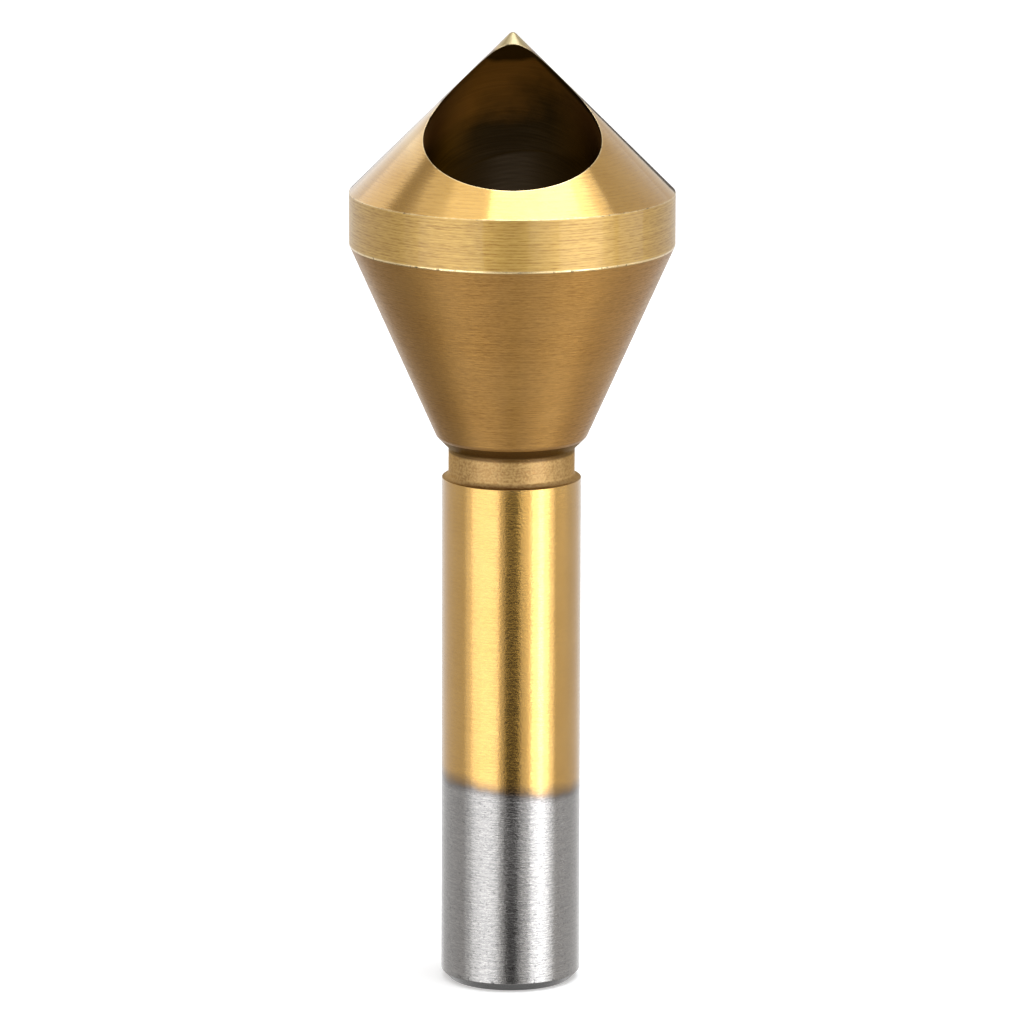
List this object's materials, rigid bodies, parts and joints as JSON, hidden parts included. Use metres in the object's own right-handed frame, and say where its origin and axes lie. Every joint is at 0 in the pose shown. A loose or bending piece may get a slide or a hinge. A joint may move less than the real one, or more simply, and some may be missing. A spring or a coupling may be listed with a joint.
{
  "type": "countersink bit",
  "caption": "Single-piece countersink bit with a cutting cone, a slanted chip hole through the head, a relief neck and a plain round shank.",
  "frame": {"origin": "centre of the flat end of the shank", "axes": "+Z along the tool's axis from the flat end to the cutting point, -Y towards the front mouth of the chip hole on the cutting cone"},
  "size_m": [0.028, 0.028, 0.0833],
  "materials": {
    "coated_tool_steel": "thin gold-coloured nitride coating over fine turning lines on the head, the neck and the upper shank; bare ground steel on the lowest part of the shank; bare dark bore"
  },
  "bodies": {
    "root": {"countersink_bit": "coated_tool_steel"}
  },
  "joints": []
}
